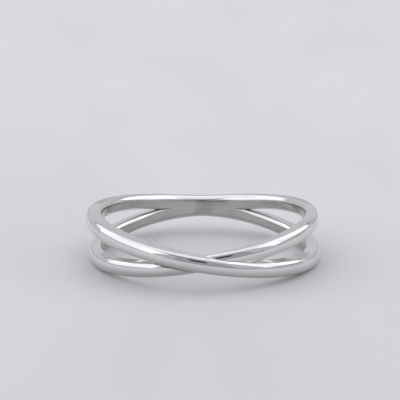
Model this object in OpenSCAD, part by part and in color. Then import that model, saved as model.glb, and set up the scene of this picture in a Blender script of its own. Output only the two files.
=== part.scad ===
/* [Ring size] */
// Inner diameter of the finger hole
inner_d = 17.3; // [14:0.1:22]

/* [Band section] */
// Width of each band, along the axis of the hole
band_w = 1.3; // [1.1:0.05:1.6]
// Depth of the flat side faces, from the inner wall outwards
flat_d = 0.8; // [0.7:0.05:1.1]
// Height of the rounded outer face above the flat sides
dome_d = 0.4; // [0.2:0.02:0.6]
// Depth of the softened edges along the inner wall
edge_depth = 0.28; // [0.1:0.02:0.4]
// Height of the softened edges, along the axis of the hole
edge_height = 0.48; // [0.2:0.02:0.54]
// Depth of the softened edges at the back
back_edge_depth = 0.6; // [0.3:0.05:0.65]
// Share of the softening that is left at the crossing
front_share = 0.3; // [0.1:0.05:1]
// Share of it on the gap's side where the bands run together
groove_share = 0.5; // [0.2:0.05:0.8]

/* [Crossing and wave] */
// Height of a band's centre line above the middle plane, at the sides of the ring
side_rise = 1.52; // [1.1:0.02:2.2]
// Height of a band's centre line above the middle plane, at the back
back_rise = 0.3; // [0.15:0.01:0.4]
// How sharply the two bands draw together towards the back
back_taper = 1.5; // [1.2:0.1:2.2]
// How far the over-band stands out beyond the under-band
over_step = 0.22; // [0.1:0.02:0.3]
// Extra depth by which the under-band dips where it is crossed
under_dip = 0.36; // [0.1:0.02:0.5]
// Angle each side of the crossing over which the dip fades out
dip_span = 34; // [26:1:45]

/* [Hidden] */

inner_r = inner_d / 2;
half_w = band_w / 2;
quarter = 90;
half_turn = 180;
full_turn = 360;
// angles, measured from the back, between which the step of the over-band fades in
step_fade_from = 25;
step_fade_to = 80;
// angles, measured from the crossing, between which the softened edges grow to their full size
soft_from = 50;
soft_to = 95;
// angles from the crossing between which they deepen to the depth at the back
deepen_from = 110;
deepen_to = 150;
// height of the centre line at which the groove beyond each gap has run out
groove_end = 0.5;
// fall of the over-band's edge for each mm sideways, where it lies on the under-band
edge_fall = 12;

stations = 120;
// rows of points across the outer face; the first of them end at the over-band's edge where it crosses
dome_steps = 10;
over_rows = 5;
// shares of the face: the step down from the over-band's edge, and the least that either group of rows takes
edge_share = 0.03;
least_share = 0.14;
middle_share = 0.5;
// a section is the outer face, then the outer inside edge, then the gap inside edge
edge_points = 5;
seam_first = dome_steps + 1 + edge_points;
section_points = seam_first + edge_points;
last_point = section_points - 1;

// angle from the crossing, as 0 at the front to half a turn at the back
function fold(a) = abs(a > half_turn ? a - full_turn : a);

// value between from and to at share t, which stops at to
function mix(from, to, t) = from + (to - from) * min(1, t);

// smooth step from 0 to 1 while t goes from 0 to 1
function ease(t) = let (u = min(1, max(0, t))) u * u * (3 - 2 * u);

// height of the upper centre line above the middle plane
function rise(a) =
    let (f = fold(a), s = abs(sin(f)))
    f <= quarter ? side_rise * s : back_rise + (side_rise - back_rise) * pow(s, back_taper);

// radial height of the over-band and of the under-band beyond the plain section
function over_extra(a) = over_step * ease((half_turn - fold(a) - step_fade_from) / (step_fade_to - step_fade_from));
function under_extra(a) = fold(a) >= dip_span ? 0 : -under_dip * pow(cos(quarter * fold(a) / dip_span), 2);

// the over-band is the upper one on the left, the under-band on the right
function upper_is_over(a) = a > half_turn;
function own_extra(a, side) = upper_is_over(a) == (side > 0) ? over_extra(a) : under_extra(a);

// where the two bands are close enough to be one piece of metal
function joined(a) = rise(a) <= half_w;

// outer face of a band whose centre line is off by d: rounded on top, falling steeply beyond its edge
function band_face(d, extra) =
    flat_d + extra + (abs(d) < half_w ? dome_d * sqrt(1 - pow(d / half_w, 2)) : -edge_fall * (abs(d) - half_w));

// one plain dome over the whole height of the shank
function shank_face(a, z) = flat_d + dome_d * sqrt(max(0, 1 - pow(z / (rise(a) + half_w), 2)));

// how far the two bands have become one shank: 0 where they part, 1 at the back
function merged(a) = fold(a) < quarter ? 0 : ease((half_w - rise(a)) / (half_w - back_rise));

// height of the outer face over the inner wall, at a signed height z in a joined stretch
function joined_face(a, z) =
    let (
        over_z = upper_is_over(a) ? rise(a) : -rise(a),
        bands = max(band_face(z - over_z, over_extra(a)), band_face(z + over_z, under_extra(a)))
    )
    mix(bands, shank_face(a, z), merged(a));

// a point at angle a, radius r and height z; the crossing faces -Y and the over-band is high at -X
function at(a, r, z) = [r * sin(a), -r * cos(a), z];

// share of the outer face that the first rows take, so that one row follows the over-band's edge
function over_share(a, side) =
    let (q = rise(a) / half_w, crossing = asin(min(1, q)))
    fold(a) > quarter ? middle_share
    : upper_is_over(a) == (side > 0) ? mix(1 - least_share, middle_share, q)
    : q >= 1 ? mix(least_share, middle_share, q - 1)
    : min(1 - least_share, max(least_share, (asin(1 - 2 * q) + crossing) / (quarter + crossing)));

function row_share(k, over) =
    k <= over_rows ? over * k / over_rows
    : over + edge_share + (1 - over - edge_share) * (k - over_rows - 1) / (dome_steps - over_rows - 1);

// outer face of one half section, from the gap or the middle plane to the far edge
function outer_face(a, side) =
    let (
        c = rise(a),
        start = joined(a) ? asin(-c / half_w) : -quarter,
        over = over_share(a, side)
    )
    [for (k = [0:dome_steps])
        let (
            b = start + (quarter - start) * row_share(k, over),
            z = k == 0 ? max(0, c - half_w) : c + half_w * sin(b),
            face = joined(a) ? joined_face(a, side * z) : flat_d + own_extra(a, side) + dome_d * cos(b)
        )
        at(a, inner_r + face, side * z)];

// depth and height of the softened edges at angle a
function softened(a) = mix(front_share, 1, ease((fold(a) - soft_from) / (soft_to - soft_from)));
function deepened(a) = ease((fold(a) - deepen_from) / (deepen_to - deepen_from));
function soft_depth(a) = softened(a) * mix(edge_depth, back_edge_depth, deepened(a));
function soft_height(a) = softened(a) * edge_height;

// share of them on the gap's side: it grows as the gap opens, and runs out as a groove beyond its end
function gap_share(a) =
    let (opened = min(1, max(0, rise(a) - half_w) / edge_height))
    mix(groove_share, 1, opened * (2 - opened)) * ease((rise(a) - groove_end) / (half_w - groove_end));

// softened edge from a flat side at height z to the inner wall; share is 1 for a full one, into the way to the metal
function edge(a, side, z, share, into) =
    [for (k = [0:edge_points - 1])
        let (
            b = quarter * k / (edge_points - 1),
            depth = share * soft_depth(a) * (1 - sin(b)),
            height = share * soft_height(a) * (1 - cos(b))
        )
        at(a, inner_r + depth, side * (z + into * height))];

// one half section: side is 1 for the upper band and -1 for the lower one
function half_section(a, side) =
    let (gap_edge = edge(a, side, max(0, rise(a) - half_w), gap_share(a), 1))
    concat(
        outer_face(a, side),
        edge(a, side, rise(a) + half_w, 1, -1),
        [for (k = [edge_points - 1:-1:0]) gap_edge[k]]
    );

function station_angle(i) = full_turn * i / stations;

// number of a point; joined stretches share the seam points of both halves
function on_seam(a, k) = k == 0 || k == last_point || k >= seam_first && gap_share(a) == 0;
function number(i, side, k) =
    let (
        n = i % stations,
        shared = joined(station_angle(n)) && on_seam(station_angle(n), k),
        lower = shared || side > 0 ? 0 : section_points,
        point = shared && k > 0 ? last_point : k
    )
    n * 2 * section_points + lower + point;

function distinct(t) = t[0] != t[1] && t[1] != t[2] && t[2] != t[0];

// where the wall between the two halves would lie inside the metal
function inside_wall(i) = joined(station_angle(i % stations)) && joined(station_angle((i + 1) % stations));

// the strip of metal between two stations, without such a wall
function strip(i, side) = [
    for (k = [0:section_points - 1])
        let (
            next = (k + 1) % section_points,
            a = number(i, side, k), b = number(i, side, next),
            c = number(i + 1, side, next), d = number(i + 1, side, k)
        )
        if (next > 0 || !inside_wall(i))
            for (t = side > 0 ? [[a, b, c], [a, c, d]] : [[a, c, b], [a, d, c]])
                if (distinct(t)) t
];

module crossover_band() {
    points = [for (i = [0:stations - 1], side = [1, -1]) each half_section(station_angle(i), side)];
    faces = [for (i = [0:stations - 1], side = [1, -1]) each strip(i, side)];
    color("silver") polyhedron(points = points, faces = faces, convexity = 8);
}

crossover_band();
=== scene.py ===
import math

import bpy
from mathutils import Matrix, Vector


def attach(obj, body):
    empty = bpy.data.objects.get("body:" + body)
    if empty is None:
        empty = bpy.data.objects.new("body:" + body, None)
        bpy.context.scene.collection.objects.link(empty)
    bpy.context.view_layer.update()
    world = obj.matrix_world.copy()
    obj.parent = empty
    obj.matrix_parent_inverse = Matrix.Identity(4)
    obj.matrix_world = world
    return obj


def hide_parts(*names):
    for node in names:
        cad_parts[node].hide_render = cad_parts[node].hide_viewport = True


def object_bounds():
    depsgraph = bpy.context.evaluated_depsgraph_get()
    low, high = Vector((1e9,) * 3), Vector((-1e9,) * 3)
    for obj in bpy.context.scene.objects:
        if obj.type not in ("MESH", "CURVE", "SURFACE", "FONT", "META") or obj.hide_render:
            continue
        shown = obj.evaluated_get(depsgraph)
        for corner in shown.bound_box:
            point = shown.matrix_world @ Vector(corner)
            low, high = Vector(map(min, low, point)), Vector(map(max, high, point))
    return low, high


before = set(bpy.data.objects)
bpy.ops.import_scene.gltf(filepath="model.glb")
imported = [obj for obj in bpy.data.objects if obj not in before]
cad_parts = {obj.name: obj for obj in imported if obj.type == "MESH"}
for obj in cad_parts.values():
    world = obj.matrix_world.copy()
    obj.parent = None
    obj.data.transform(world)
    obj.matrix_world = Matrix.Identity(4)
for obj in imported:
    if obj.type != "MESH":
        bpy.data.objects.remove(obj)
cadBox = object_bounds()
mm = 0.001
print("frame loaded")


def linear(hexColour):
    # sRGB hex to the linear RGBA that sockets take
    parts = [int(hexColour[start:start + 2], 16) / 255 for start in (1, 3, 5)]
    return [part / 12.92 if part <= 0.04045 else ((part + 0.055) / 1.055) ** 2.4 for part in parts] + [1]


def feed(tree, socket, value):
    # a value into a socket: a number, another socket, or a node, which gives its first output in use
    if isinstance(value, bpy.types.Node):
        value = next(output for output in value.outputs if output.enabled)
    if isinstance(value, bpy.types.NodeSocket):
        tree.links.new(value, socket)
    else:
        socket.default_value = value


def add(tree, kind, *values, **settings):
    # one node, with its settings and then its inputs in order
    node = tree.nodes.new(kind)
    for name, setting in settings.items():
        setattr(node, name, setting)
    for socket, value in zip([entry for entry in node.inputs if entry.enabled], values):
        feed(tree, socket, value)
    return node


# the two node kinds that do most of the work, and the setting for a range that starts and ends gently
calc = "ShaderNodeMath"
ramp = "ShaderNodeMapRange"
eased = {"interpolation_type": "SMOOTHSTEP"}


silver = {
    "colour": "#e2e2e1",
    "inside": "#c6c4c2",  # darker colour of the inner wall, which also has a satin finish
    "insideShade": "#93918f",  # and of darker patches on it
    "crease": "#3b3a3a",  # painted shade: the dark line in the crease under the over-band's edge
    "creaseShadeStrength": 0.92,  # how much of that painted shade the line takes
    "roughness": 0.045,
    "satin": 0.16,  # added roughness of the inner wall
    "smudges": 0.05,  # added roughness where the polish is thinner
    "smudgeRange": (0.45, 0.7),  # of the clouds, from clean to smudged
    "cloudSize": 2.6 * mm,
    "cloudDetail": 3,
    "patchSize": 3.2 * mm,  # of the patches on the inner wall
    "patchDetail": 2,
    "patchPlace": (-4.7 * mm, 0, 0),  # puts a dark one right of the back's middle
    "patchRange": (0.5, 0.75),
    "wallRange": (0.6, 1),  # of the attribute inside, over which the wall's colours come in
    "lineWidth": 0.045 * mm,  # hairlines of the last polish, coarser than real ones so that they show
    "lineLength": 2.2 * mm,
    "lineDetail": 2,
    "lineDepth": 0.0001 * mm,
    "lineRoughness": 0.03,
    "waveSize": 1.9 * mm,  # unevenness left by hand polishing
    "waveDetail": 1,
    "waveDepth": 0.004 * mm,
}


def makeSilver():
    # rhodium-plated sterling silver, cast and polished: near mirror outside, satin on the inner wall,
    # given away by faint hairlines along the bands and highlights that waver a little
    mat = bpy.data.materials.new("polishedRhodiumPlatedSilver")
    mat.use_nodes = True
    tree = mat.node_tree
    place = add(tree, "ShaderNodeTexCoord").outputs["Object"]
    clouds = add(tree, "ShaderNodeTexNoise", place, 1 / silver["cloudSize"], silver["cloudDetail"])
    waves = add(tree, "ShaderNodeTexNoise", place, 1 / silver["waveSize"], silver["waveDetail"])
    moved = add(tree, "ShaderNodeVectorMath", place, silver["patchPlace"], operation="ADD")
    patches = add(tree, "ShaderNodeTexNoise", moved, 1 / silver["patchSize"], silver["patchDetail"])
    inside = add(tree, "ShaderNodeAttribute", attribute_name="inside").outputs["Fac"]
    crease = add(tree, "ShaderNodeAttribute", attribute_name="crease").outputs["Fac"]

    # hairlines on unrolled coordinates: way round the ring, height, depth
    x, y, z = add(tree, "ShaderNodeSeparateXYZ", place).outputs
    flatPlace = add(tree, "ShaderNodeCombineXYZ", x, y, 0)
    radius = add(tree, "ShaderNodeVectorMath", flatPlace, operation="LENGTH")
    turn = add(tree, calc, y, radius, operation="DIVIDE")
    turn = add(tree, calc, turn, operation="ARCCOSINE")
    wayRound = add(tree, calc, turn, ring["Hole radius"] / silver["lineLength"], operation="MULTIPLY")
    height = add(tree, calc, z, silver["lineWidth"], operation="DIVIDE")
    depth = add(tree, calc, radius, silver["lineWidth"], operation="DIVIDE")
    unrolled = add(tree, "ShaderNodeCombineXYZ", wayRound, height, depth)
    lines = add(tree, "ShaderNodeTexNoise", unrolled, 1, silver["lineDetail"])

    # colour: the silver, the patchy inner wall, and the painted shade line under the over-band's edge
    patch = add(tree, ramp, patches, *silver["patchRange"], **eased)
    wallColours = linear(silver["inside"]), linear(silver["insideShade"])
    patchyWall = add(tree, "ShaderNodeMix", patch, *wallColours, data_type="RGBA")
    wall = add(tree, ramp, inside, *silver["wallRange"], **eased)
    tint = add(tree, "ShaderNodeMix", wall, linear(silver["colour"]), patchyWall, data_type="RGBA")
    # painted shade: the colour darkens in the crease under the over-band's edge
    creaseShade = add(tree, calc, crease, silver["creaseShadeStrength"], operation="MULTIPLY")
    tint = add(tree, "ShaderNodeMix", creaseShade, tint, linear(silver["crease"]), data_type="RGBA")

    # roughness: hairlines, smudges and the satin of the inner wall
    smooth = silver["roughness"] - silver["lineRoughness"] / 2
    rough = add(tree, calc, lines, silver["lineRoughness"], smooth, operation="MULTIPLY_ADD")
    smudge = add(tree, ramp, clouds, *silver["smudgeRange"], 0, silver["smudges"], **eased)
    rough = add(tree, calc, rough, smudge, operation="ADD")
    rough = add(tree, calc, inside, silver["satin"], rough, operation="MULTIPLY_ADD")

    # relief: slow waves, with the hairlines on them
    wavy = add(tree, "ShaderNodeBump", 1, silver["waveDepth"])
    lined = add(tree, "ShaderNodeBump", 1, silver["lineDepth"])
    feed(tree, wavy.inputs["Height"], waves)
    feed(tree, lined.inputs["Height"], lines)
    feed(tree, lined.inputs["Normal"], wavy)
    finish = {"Metallic": 1, "Base Color": tint, "Roughness": rough, "Normal": lined}
    for name, value in finish.items():
        feed(tree, tree.nodes["Principled BSDF"].inputs[name], value)
    return mat


# the ring, one closed mesh of two half sections swept round the finger hole; angles are from the crossing
ring = {
    "Hole radius": 8.65 * mm,
    "Band width": 1.3 * mm,
    "Flat depth": 0.8 * mm,
    "Dome height": 0.4 * mm,
    "Softening depth": 0.28 * mm,
    "Softening height": 0.48 * mm,
    "Back depth": 0.6 * mm,  # the softening's depth at the back
    "Deepening start": math.radians(110),
    "Deepening end": math.radians(150),
    "Front softening": 0.3,  # share of it that is left at the crossing
    "Softening start": math.radians(50),
    "Softening end": math.radians(95),
    "Groove": 0.5,  # share of it on the gap's side where the bands run together
    "Groove end": 0.5 * mm,  # height of the centre line at which that has run out
    "Side rise": 1.52 * mm,
    "Back rise": 0.3 * mm,
    "Back taper": 1.5,
    "Over step": 0.22 * mm,
    "Under dip": 0.36 * mm,
    "Dip span": math.radians(34),
    "Step fade start": math.radians(155),
    "Step fade end": math.radians(100),
    "Edge fall": 20.0,  # for each millimetre sideways beyond a band's edge
    "Fillet": 0.03 * mm,
    # where the painted shade under the over-band's edge lies
    "Crease core": 0.04 * mm,  # as dark as it gets up to here from the over-band's edge
    "Crease width": 0.2 * mm,
    "Crease tolerance": 0.0005 * mm,  # a point this near is on the edge itself
    "Crease fade start": math.radians(60),
    "Crease fade end": math.radians(80),
    "Gap satin": 0.55,  # share of the satin on the gap's side at the back
    "Gap satin start": math.radians(80),
    "Gap satin end": math.radians(120),
    "Sharp angle": math.radians(40),
    "Weld": 0.0001 * mm,
    "Stations": 420,
    "Front crowding": 0.35,  # how much closer they stand at the crossing
}

# the row at which each stretch of a half section ends
rows = {"over": 24, "dome": 48, "flat": 54, "arc": 60, "wall": 66, "gapArc": 72, "last": 78}
satinRows = 4  # before the end of the softened edge, over which the satin comes in

# shares of the outer face: what the first rows and the row after them get where no edge crosses it,
# and the least that each gets where one does
evenShare = 0.5
edgeShare = 0.02
leastShare = 0.04
leastEdgeShare = 0.002


def ringTree():
    tree = bpy.data.node_groups.new("crossoverRing", "GeometryNodeTree")
    tree.interface.new_socket("Geometry", in_out="OUTPUT", socket_type="NodeSocketGeometry")
    for name, value in ring.items():
        kind = "NodeSocketInt" if isinstance(value, int) else "NodeSocketFloat"
        tree.interface.new_socket(name, in_out="INPUT", socket_type=kind).default_value = value
    tree.interface.new_socket("Metal", in_out="INPUT", socket_type="NodeSocketMaterial")
    size = add(tree, "NodeGroupInput").outputs
    switch = "GeometryNodeSwitch"

    def span(name):
        # the two inputs between which something comes in
        return size[name + " start"], size[name + " end"]

    def dome(away, halfWide):
        # height of a rounded face over its foot, as a share of its crown, at a distance from its middle
        drop = add(tree, calc, away, halfWide, operation="DIVIDE")
        drop = add(tree, calc, drop, 2, operation="POWER")
        left = add(tree, calc, 1, drop, operation="SUBTRACT")
        left = add(tree, calc, left, 0, operation="MAXIMUM")
        return add(tree, calc, left, operation="SQRT")

    # two grids laid out as (station, row, side): 1 is the upper half, -1 the lower
    stationCount = add(tree, calc, size["Stations"], 1, operation="ADD")
    middle = add(tree, calc, size["Stations"], 2, operation="DIVIDE")
    grid = add(tree, "GeometryNodeMeshGrid", size["Stations"], rows["last"], stationCount, rows["last"] + 1)
    halves = add(tree, "GeometryNodeJoinGeometry")
    for half in (1, -1):
        shift = add(tree, "ShaderNodeCombineXYZ", middle, rows["last"] / 2, half)
        laid = add(tree, "GeometryNodeTransform", grid, shift)
        if half < 0:
            laid = add(tree, "GeometryNodeFlipFaces", laid)
        feed(tree, halves.inputs[0], laid)
    place = add(tree, "GeometryNodeInputPosition")
    station, gridRow, side = add(tree, "ShaderNodeSeparateXYZ", place).outputs
    gridRow = add(tree, calc, gridRow, operation="ROUND")
    row = add(tree, calc, gridRow, rows["last"], operation="MODULO")

    # angle from the crossing, crowded towards it, and the same folded to half a turn
    turn = add(tree, calc, station, size["Stations"], operation="DIVIDE")
    turn = add(tree, calc, turn, 2 * math.pi, operation="MULTIPLY")
    crowding = add(tree, calc, turn, operation="SINE")
    crowding = add(tree, calc, crowding, size["Front crowding"], operation="MULTIPLY")
    angle = add(tree, calc, turn, crowding, operation="SUBTRACT")
    otherWay = add(tree, calc, 2 * math.pi, angle, operation="SUBTRACT")
    fold = add(tree, calc, angle, otherWay, operation="MINIMUM")
    isBack = add(tree, calc, fold, math.pi / 2, operation="GREATER_THAN")
    isLeft = add(tree, calc, angle, math.pi, operation="GREATER_THAN")
    overSign = add(tree, ramp, isLeft, 0, 1, -1, 1)

    # height of the centre line: a sine at the front, drawn together at the back
    sine = add(tree, calc, fold, operation="SINE")
    sine = add(tree, calc, sine, 0, operation="MAXIMUM")
    frontRise = add(tree, calc, sine, size["Side rise"], operation="MULTIPLY")
    riseSpan = add(tree, calc, size["Side rise"], size["Back rise"], operation="SUBTRACT")
    backRise = add(tree, calc, sine, size["Back taper"], operation="POWER")
    backRise = add(tree, calc, backRise, riseSpan, size["Back rise"], operation="MULTIPLY_ADD")
    rise = add(tree, switch, isBack, frontRise, backRise, input_type="FLOAT")

    # how far each band stands out: the over-band's step and the under-band's dip
    overExtra = add(tree, ramp, fold, *span("Step fade"), 0, size["Over step"], **eased)
    dip = add(tree, ramp, fold, 0, size["Dip span"], 0, math.pi / 2)
    dip = add(tree, calc, dip, operation="COSINE")
    dip = add(tree, calc, dip, 2, operation="POWER")
    dip = add(tree, calc, dip, size["Under dip"], operation="MULTIPLY")
    underExtra = add(tree, calc, dip, -1, operation="MULTIPLY")

    # the centre line's height as a share of half the band's width: below 1 the bands are joined;
    # crossing is the dome's turn from its middle to the middle plane, and sweep its whole turn
    halfWidth = add(tree, calc, size["Band width"], 2, operation="DIVIDE")
    parting = add(tree, calc, rise, halfWidth, operation="DIVIDE")
    joined = add(tree, calc, parting, 1, operation="LESS_THAN")
    parted = add(tree, calc, parting, 1, operation="GREATER_THAN")
    crossing = add(tree, calc, parting, 1, operation="MINIMUM")
    crossing = add(tree, calc, crossing, operation="ARCSINE")
    sweep = add(tree, calc, crossing, math.pi / 2, operation="ADD")

    # the rows are shared out so that one follows the over-band's edge
    isOver = add(tree, calc, overSign, side, operation="MULTIPLY")
    isOver = add(tree, calc, isOver, 0, operation="GREATER_THAN")
    edgeSine = add(tree, ramp, parting, 0, 1, 1, -1)
    edgeTurn = add(tree, calc, edgeSine, operation="ARCSINE")
    edgeTurn = add(tree, calc, edgeTurn, crossing, operation="ADD")
    onUnder = add(tree, calc, edgeTurn, sweep, operation="DIVIDE")
    onUnder = add(tree, "ShaderNodeClamp", onUnder, leastShare, 1 - leastShare)
    evenOut = add(tree, ramp, parting, 1, 2, 0, evenShare - leastShare)
    onUnder = add(tree, calc, onUnder, evenOut, operation="ADD")
    onOver = add(tree, ramp, parting, 0, 1, 1 - leastShare, evenShare)
    overShare = add(tree, switch, isOver, onUnder, onOver, input_type="FLOAT")
    overShare = add(tree, switch, isBack, overShare, evenShare, input_type="FLOAT")

    # the next row follows the foot of the step, where that edge meets the under-band's face
    fall = add(tree, calc, size["Edge fall"], halfWidth, operation="MULTIPLY")
    reach = add(tree, calc, size["Dome height"], 2, operation="POWER")
    reach = add(tree, calc, fall, fall, reach, operation="MULTIPLY_ADD")
    reach = add(tree, calc, reach, operation="SQRT")
    lean = add(tree, calc, size["Dome height"], fall, operation="DIVIDE")
    lean = add(tree, calc, lean, operation="ARCTANGENT")
    step = add(tree, calc, overExtra, underExtra, operation="SUBTRACT")
    foot = add(tree, calc, fall, edgeSine, step, operation="MULTIPLY_ADD")
    foot = add(tree, calc, foot, reach, operation="DIVIDE")
    foot = add(tree, calc, foot, 1, operation="MINIMUM")
    foot = add(tree, calc, foot, operation="ARCSINE")
    foot = add(tree, calc, foot, lean, operation="SUBTRACT")
    foot = add(tree, calc, foot, crossing, operation="ADD")
    foot = add(tree, calc, foot, sweep, operation="DIVIDE")
    foot = add(tree, calc, foot, 1 - leastShare + edgeShare, operation="MINIMUM")
    footShare = add(tree, calc, foot, overShare, operation="SUBTRACT")
    footShare = add(tree, calc, footShare, leastEdgeShare, operation="MAXIMUM")
    noStep = add(tree, calc, isOver, isBack, operation="ADD")
    noStep = add(tree, calc, noStep, 0, operation="GREATER_THAN")
    footShare = add(tree, switch, noStep, footShare, edgeShare, input_type="FLOAT")
    restShare = add(tree, calc, 1, footShare, operation="SUBTRACT")
    restShare = add(tree, calc, restShare, overShare, operation="SUBTRACT")

    # height of each row of the outer face
    toEdge = add(tree, ramp, row, 0, rows["over"], 0, overShare, **eased)
    toFoot = add(tree, ramp, row, rows["over"], rows["over"] + 1, 0, footShare)
    toEnd = add(tree, ramp, row, rows["over"] + 1, rows["dome"], 0, restShare, **eased)
    share = add(tree, calc, toEdge, toFoot, operation="ADD")
    share = add(tree, calc, share, toEnd, operation="ADD")
    faceTurn = add(tree, calc, share, sweep, operation="MULTIPLY")
    faceTurn = add(tree, calc, faceTurn, crossing, operation="SUBTRACT")
    height = add(tree, calc, faceTurn, operation="SINE")
    height = add(tree, calc, height, halfWidth, rise, operation="MULTIPLY_ADD")

    # outer face: the higher of the two bands, over-band first
    signed = add(tree, calc, height, side, operation="MULTIPLY")
    overRise = add(tree, calc, rise, overSign, operation="MULTIPLY")
    faces = []
    beyondEdges = []
    for operation, extra in (("SUBTRACT", overExtra), ("ADD", underExtra)):
        away = add(tree, calc, signed, overRise, operation=operation)
        away = add(tree, calc, away, operation="ABSOLUTE")
        crown = add(tree, calc, dome(away, halfWidth), size["Dome height"], extra, operation="MULTIPLY_ADD")
        beyond = add(tree, calc, away, halfWidth, operation="SUBTRACT")
        beyond = add(tree, calc, beyond, 0, operation="MAXIMUM")
        drop = add(tree, calc, beyond, size["Edge fall"], operation="MULTIPLY")
        faces.append(add(tree, calc, crown, drop, operation="SUBTRACT"))
        beyondEdges.append(beyond)
    bands = add(tree, calc, *faces, size["Fillet"], operation="SMOOTH_MAX")

    # blended to one plain dome at the back
    top = add(tree, calc, rise, halfWidth, operation="ADD")
    shank = add(tree, calc, dome(height, top), size["Dome height"], operation="MULTIPLY")
    backParting = add(tree, calc, size["Back rise"], halfWidth, operation="DIVIDE")
    merged = add(tree, ramp, parting, 1, backParting, 0, 1, **eased)
    merged = add(tree, calc, merged, isBack, operation="MULTIPLY")
    change = add(tree, calc, shank, bands, operation="SUBTRACT")
    face = add(tree, calc, merged, change, bands, operation="MULTIPLY_ADD")
    face = add(tree, calc, face, size["Flat depth"], operation="ADD")

    # size of the softened edges, and how much of them the gap's side gets
    gap = add(tree, calc, rise, halfWidth, operation="SUBTRACT")
    gap = add(tree, calc, gap, 0, operation="MAXIMUM")
    softening = add(tree, ramp, fold, *span("Softening"), size["Front softening"], 1, **eased)
    depths = size["Softening depth"], size["Back depth"]
    softDepth = add(tree, ramp, fold, *span("Deepening"), *depths, **eased)
    softDepth = add(tree, calc, softening, softDepth, operation="MULTIPLY")
    softHeight = add(tree, calc, softening, size["Softening height"], operation="MULTIPLY")
    opened = add(tree, calc, gap, size["Softening height"], operation="DIVIDE")
    opened = add(tree, calc, opened, 1, operation="MINIMUM")
    closing = add(tree, calc, 2, opened, operation="SUBTRACT")
    opened = add(tree, calc, opened, closing, operation="MULTIPLY")
    opened = add(tree, ramp, opened, 0, 1, size["Groove"], 1)
    groove = add(tree, ramp, rise, size["Groove end"], halfWidth, 0, 1, **eased)
    opened = add(tree, calc, opened, groove, operation="MULTIPLY")
    gapDepth = add(tree, calc, softDepth, opened, operation="MULTIPLY")
    gapHeight = add(tree, calc, softHeight, opened, operation="MULTIPLY")

    # how far a row has come along the flat side, the inner wall and the gap's side, and round the two arcs
    gentle = {"interpolation_type": "SMOOTHERSTEP"}
    alongFlat = add(tree, ramp, row, rows["dome"], rows["flat"], **gentle)
    arcTurn = add(tree, ramp, row, rows["flat"], rows["arc"], 0, math.pi / 2)
    alongWall = add(tree, ramp, row, rows["arc"], rows["wall"], **gentle)
    gapArcTurn = add(tree, ramp, row, rows["wall"], rows["gapArc"], 0, math.pi / 2)
    alongGap = add(tree, ramp, row, rows["gapArc"], rows["last"], **gentle)
    alongGap = add(tree, calc, alongGap, parted, operation="MULTIPLY")
    arcSine = add(tree, calc, arcTurn, operation="SINE")
    arcDrop = add(tree, calc, arcTurn, operation="COSINE")
    arcDrop = add(tree, calc, 1, arcDrop, operation="SUBTRACT")
    gapSine = add(tree, calc, gapArcTurn, operation="SINE")
    gapLift = add(tree, calc, gapArcTurn, operation="COSINE")
    gapLift = add(tree, calc, 1, gapLift, operation="SUBTRACT")

    # depth over the inner wall
    inwards = add(tree, calc, softDepth, face, operation="SUBTRACT")
    depth = add(tree, calc, alongFlat, inwards, face, operation="MULTIPLY_ADD")
    arcDepth = add(tree, calc, arcSine, softDepth, operation="MULTIPLY")
    depth = add(tree, calc, depth, arcDepth, operation="SUBTRACT")
    depth = add(tree, calc, gapLift, gapDepth, depth, operation="MULTIPLY_ADD")
    outwards = add(tree, calc, face, gapDepth, operation="SUBTRACT")
    depth = add(tree, calc, alongGap, outwards, depth, operation="MULTIPLY_ADD")

    # height over the middle plane
    arcHeight = add(tree, calc, arcDrop, softHeight, operation="MULTIPLY")
    wallHeight = add(tree, calc, top, softHeight, operation="SUBTRACT")
    wallFoot = add(tree, calc, gap, gapHeight, operation="ADD")
    wallHeight = add(tree, calc, wallHeight, wallFoot, operation="SUBTRACT")
    wallHeight = add(tree, calc, wallHeight, alongWall, operation="MULTIPLY")
    gapArcHeight = add(tree, calc, gapSine, gapHeight, operation="MULTIPLY")
    for lower in (arcHeight, wallHeight, gapArcHeight):
        height = add(tree, calc, height, lower, operation="SUBTRACT")

    # the crossing faces -Y
    radius = add(tree, calc, depth, size["Hole radius"], operation="ADD")
    x = add(tree, calc, angle, operation="SINE")
    x = add(tree, calc, radius, x, operation="MULTIPLY")
    y = add(tree, calc, angle, operation="COSINE")
    y = add(tree, calc, y, -1, operation="MULTIPLY")
    y = add(tree, calc, radius, y, operation="MULTIPLY")
    z = add(tree, calc, height, side, operation="MULTIPLY")
    surface = add(tree, "ShaderNodeCombineXYZ", x, y, z)

    # the satin is on the inner wall, and at the back it runs on into the gap
    satinFrom = add(tree, ramp, row, rows["arc"] - satinRows, rows["arc"], **eased)
    satinTo = add(tree, ramp, row, rows["wall"], rows["gapArc"], 1, 0, **eased)
    backGap = add(tree, ramp, fold, *span("Gap satin"), 0, size["Gap satin"], **eased)
    satinTo = add(tree, calc, satinTo, backGap, operation="MAXIMUM")
    inside = add(tree, calc, satinFrom, satinTo, operation="MULTIPLY")

    # the painted shade of the crease runs below the over-band's edge, on the outer face at the front
    crease = add(tree, ramp, beyondEdges[0], size["Crease core"], size["Crease width"], 1, 0, **eased)
    outside = add(tree, calc, beyondEdges[0], size["Crease tolerance"], operation="GREATER_THAN")
    below = add(tree, calc, signed, overRise, operation="LESS_THAN")
    front = add(tree, ramp, fold, *span("Crease fade"), 1, 0)
    onFace = add(tree, calc, row, rows["dome"] - 1, operation="LESS_THAN")
    for limit in (outside, below, front, joined, onFace):
        crease = add(tree, calc, crease, limit, operation="MULTIPLY")

    # the wall between the halves is left out where the bands are one piece of metal
    gapRows = add(tree, calc, gridRow, rows["gapArc"] - 0.5, operation="GREATER_THAN")
    inner = add(tree, calc, joined, gapRows, operation="MULTIPLY")

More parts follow.
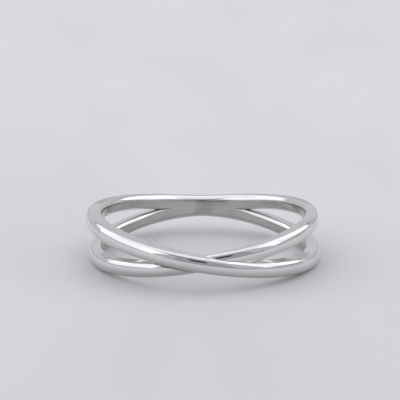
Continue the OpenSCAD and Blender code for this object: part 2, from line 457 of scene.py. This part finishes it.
    # the foot of the step is a sharp line, and the only one on the face round it
    stepped = add(tree, calc, joined, front, operation="MULTIPLY")
    stepped = add(tree, calc, stepped, noStep, operation="SUBTRACT")
    stepped = add(tree, calc, stepped, 0.5, operation="GREATER_THAN")
    onFoot = add(tree, calc, row, rows["over"] + 1, 0.5, operation="COMPARE")
    onFoot = add(tree, calc, onFoot, stepped, operation="MULTIPLY")
    onStep = add(tree, calc, row, rows["dome"] - 0.5, operation="LESS_THAN")
    onStep = add(tree, calc, onStep, stepped, operation="MULTIPLY")

    # marks first, while the points still lie on the grids, and then the shape
    marked = halves
    for name, mark in (("inside", inside), ("crease", crease)):
        named = {"data_type": "FLOAT", "domain": "POINT"}
        marked = add(tree, "GeometryNodeStoreNamedAttribute", marked, True, name, mark, **named)
    kept = add(tree, "GeometryNodeCaptureAttribute", marked)
    for i, (name, mark) in enumerate((("inner", inner), ("onFoot", onFoot), ("onStep", onStep))):
        kept.capture_items.new("BOOLEAN", name)
        feed(tree, kept.inputs[i + 1], mark)
    shaped = add(tree, "GeometryNodeSetPosition", kept, True, surface)
    unwalled = add(tree, "GeometryNodeDeleteGeometry", shaped, kept.outputs["inner"], domain="FACE")
    closed = add(tree, "GeometryNodeMergeByDistance", unwalled, True, size["Weld"])
    smooth = add(tree, "GeometryNodeSetShadeSmooth", closed, True, True, domain="FACE")
    bent = add(tree, "GeometryNodeInputMeshEdgeAngle")
    sharp = add(tree, calc, bent, size["Sharp angle"], operation="GREATER_THAN")
    sharp = add(tree, "FunctionNodeBooleanMath", sharp, kept.outputs["onStep"], operation="NIMPLY")
    sharp = add(tree, "FunctionNodeBooleanMath", sharp, kept.outputs["onFoot"], operation="OR")
    smooth = add(tree, "GeometryNodeSetShadeSmooth", smooth, sharp, False, domain="EDGE")
    whole = add(tree, "GeometryNodeRealizeInstances", smooth)
    dressed = add(tree, "GeometryNodeSetMaterial", whole, True, size["Metal"])
    add(tree, "NodeGroupOutput", dressed)
    return tree


def makeRing():
    holder = bpy.data.objects.new("ringHolder", bpy.data.meshes.new("ringHolder"))
    bpy.context.scene.collection.objects.link(holder)
    modifier = holder.modifiers.new("crossoverRing", "NODES")
    modifier.node_group = ringTree()
    entries = modifier.node_group.interface.items_tree
    sockets = {entry.name: entry.identifier for entry in entries if entry.in_out == "INPUT"}
    for name, value in ring.items():
        modifier[sockets[name]] = value
    modifier[sockets["Metal"]] = makeSilver()
    bpy.context.view_layer.update()
    mesh = bpy.data.meshes.new_from_object(holder.evaluated_get(bpy.context.evaluated_depsgraph_get()))
    holder.modifiers.remove(modifier)
    bpy.data.objects.remove(holder)
    mesh.name = "crossoverRing"
    piece = bpy.data.objects.new("crossoverRing", mesh)
    bpy.context.scene.collection.objects.link(piece)
    return piece


piece = makeRing()
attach(piece, "root")
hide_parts("crossover_band")
print("ring made:", len(piece.data.polygons), "faces")


floorSizes = {
    "level": cadBox[0][2],
    "halfWidth": 0.6,
    "near": -0.6,
    "far": 0.45,
    "bend": 0.15,
    "bendSteps": 24,
    "top": 0.5,
    "colour": "#c7c6c6",
    "shade": "#bbbaba",  # where the surface is a little darker
    "cloudSize": 16 * mm,
    "cloudDetail": 5,
    "cloudStretch": (1, 0.33, 1),  # three times as long away from the camera
    "cloudRange": (0.35, 0.65),
    "roughness": 0.5,
    "ior": 1.5,
    "sheen": 1.0,  # of the fibres
    "sheenRoughness": 0.62,
}


def makePaper():
    # background paper: matt, with soft clouds, and fibres that pale it at a low angle
    mat = bpy.data.materials.new("paleBackgroundPaper")
    mat.use_nodes = True
    tree = mat.node_tree
    place = add(tree, "ShaderNodeTexCoord").outputs["Object"]
    drawn = add(tree, "ShaderNodeVectorMath", place, floorSizes["cloudStretch"], operation="MULTIPLY")
    clouds = add(tree, "ShaderNodeTexNoise", drawn, 1 / floorSizes["cloudSize"], floorSizes["cloudDetail"])
    shade = add(tree, ramp, clouds, *floorSizes["cloudRange"])
    colours = linear(floorSizes["colour"]), linear(floorSizes["shade"])
    finish = {
        "Base Color": add(tree, "ShaderNodeMix", shade, *colours, data_type="RGBA"),
        "Roughness": floorSizes["roughness"],
        "IOR": floorSizes["ior"],
        "Sheen Weight": floorSizes["sheen"],
        "Sheen Roughness": floorSizes["sheenRoughness"],
    }
    for name, value in finish.items():
        feed(tree, tree.nodes["Principled BSDF"].inputs[name], value)
    return mat


def makeFloor():
    # one seamless sheet, flat under the ring and bent up far behind it
    far, level, bend = floorSizes["far"], floorSizes["level"], floorSizes["bend"]
    profile = [(floorSizes["near"], level), (far, level)]
    for i in range(1, floorSizes["bendSteps"] + 1):
        turn = math.pi / 2 * i / floorSizes["bendSteps"]
        profile.append((far + bend * math.sin(turn), level + bend * (1 - math.cos(turn))))
    profile.append((far + bend, floorSizes["top"]))
    verts = [(x, y, z) for x in (-floorSizes["halfWidth"], floorSizes["halfWidth"]) for y, z in profile]
    count = len(profile)
    mesh = bpy.data.meshes.new("floor")
    mesh.from_pydata(verts, [], [(i, count + i, count + i + 1, i + 1) for i in range(count - 1)])
    mesh.polygons.foreach_set("use_smooth", [True] * (count - 1))
    mesh.materials.append(makePaper())
    floor = bpy.data.objects.new("floor", mesh)
    bpy.context.scene.collection.objects.link(floor)


makeFloor()
print("floor made")


cameraSizes = {
    "place": (-1.107 * mm, -154.003 * mm, 43.48 * mm),
    "turn": (math.radians(90 - 14.74), 0, math.radians(-0.3)),  # it looks down by 14.74 degrees
    "lens": 167.9,
    "sensor": 36,  # both in millimetres
    "clipStart": 10 * mm,
}


def makeCamera():
    data = bpy.data.cameras.new("camera")
    data.lens = cameraSizes["lens"]
    data.sensor_width = cameraSizes["sensor"]
    data.clip_start = cameraSizes["clipStart"]
    camera = bpy.data.objects.new("camera", data)
    camera.location = cameraSizes["place"]
    camera.rotation_euler = cameraSizes["turn"]
    bpy.context.scene.collection.objects.link(camera)
    bpy.context.scene.camera = camera


makeCamera()
print("camera set")


# each box: turn from straight ahead towards the right and height above the floor, in degrees,
# its width and height in metres, and how bright its face is
softboxes = {
    "leftBox": {"turn": -100, "rise": 36, "size": (0.86, 0.54), "glow": 0.86},
    "leftLow": {"turn": -105, "rise": 6, "size": (1.0, 0.12), "glow": 0.25},
    "rearBox": {"turn": 5, "rise": 53, "size": (1.5, 0.32), "glow": 0.5},
    "rearWide": {"turn": 4, "rise": 52, "size": (2.2, 0.34), "glow": 0.38},
    "backPanel": {"turn": 0, "rise": 17, "size": (2.4, 0.34), "glow": 0.22},
    "rightBox": {"turn": 82, "rise": 43, "size": (0.7, 0.5), "glow": 0.78},
    "topBox": {"turn": 0, "rise": 90, "size": (0.7, 0.5), "glow": 0.66},
    "frontBox": {"turn": -140, "rise": 25, "size": (0.35, 0.5), "glow": 0.14},
    "rightLow": {"turn": 92, "rise": 7, "size": (0.8, 0.12), "glow": 0.16},
    "sideBox": {"turn": 125, "rise": 36, "size": (0.45, 0.6), "glow": 0.18},
}
lightSizes = {"reach": 0.6, "colour": "#fafbff", "roomColour": "#a5a7ab"}


def towards(turn, rise, reach):
    # a place at that distance from the ring's centre
    turn, rise = math.radians(turn), math.radians(rise)
    way = Vector((math.sin(turn) * math.cos(rise), math.cos(turn) * math.cos(rise), math.sin(rise)))
    return way * reach


def makeLights():
    for name, box in softboxes.items():
        data = bpy.data.lights.new(name, "AREA")
        data.shape = "RECTANGLE"
        data.size, data.size_y = box["size"]
        data.energy = box["glow"] * math.pi * data.size * data.size_y
        data.color = linear(lightSizes["colour"])[:3]
        light = bpy.data.objects.new(name, data)
        light.location = towards(box["turn"], box["rise"], lightSizes["reach"])
        light.rotation_euler = (-light.location).to_track_quat("-Z", "Y").to_euler()
        bpy.context.scene.collection.objects.link(light)
    world = bpy.data.worlds.new("room")
    world.use_nodes = True
    background = world.node_tree.nodes["Background"]
    background.inputs["Color"].default_value = linear(lightSizes["roomColour"])
    background.inputs["Strength"].default_value = 1
    bpy.context.scene.world = world


makeLights()
print("lights made:", len(softboxes))


# a card that shows only in the ring, as the dark spot at the crossing, placed as the boxes are
cardSizes = {"turn": 178, "rise": 33, "reach": 0.57, "size": (0.15, 0.18), "colour": "#0c0c0c"}


def makeCard():
    wide, high = cardSizes["size"]
    corners = [(wide * x / 2, high * y / 2, 0) for x, y in ((-1, -1), (1, -1), (1, 1), (-1, 1))]
    mesh = bpy.data.meshes.new("darkCard")
    mesh.from_pydata(corners, [], [(0, 1, 2, 3)])
    place = towards(cardSizes["turn"], cardSizes["rise"], cardSizes["reach"])
    mesh.transform((-place).to_track_quat("Z", "Y").to_matrix().to_4x4())
    mesh.transform(Matrix.Translation(place))

    # uncoated black paper, dark and dull
    mat = bpy.data.materials.new("blackPaper")
    mat.use_nodes = True
    mat.node_tree.nodes["Principled BSDF"].inputs["Base Color"].default_value = linear(cardSizes["colour"])
    mesh.materials.append(mat)
    card = bpy.data.objects.new("darkCard", mesh)
    bpy.context.scene.collection.objects.link(card)


makeCard()
print("card made")
bpy.context.scene.view_settings.view_transform = "Standard"
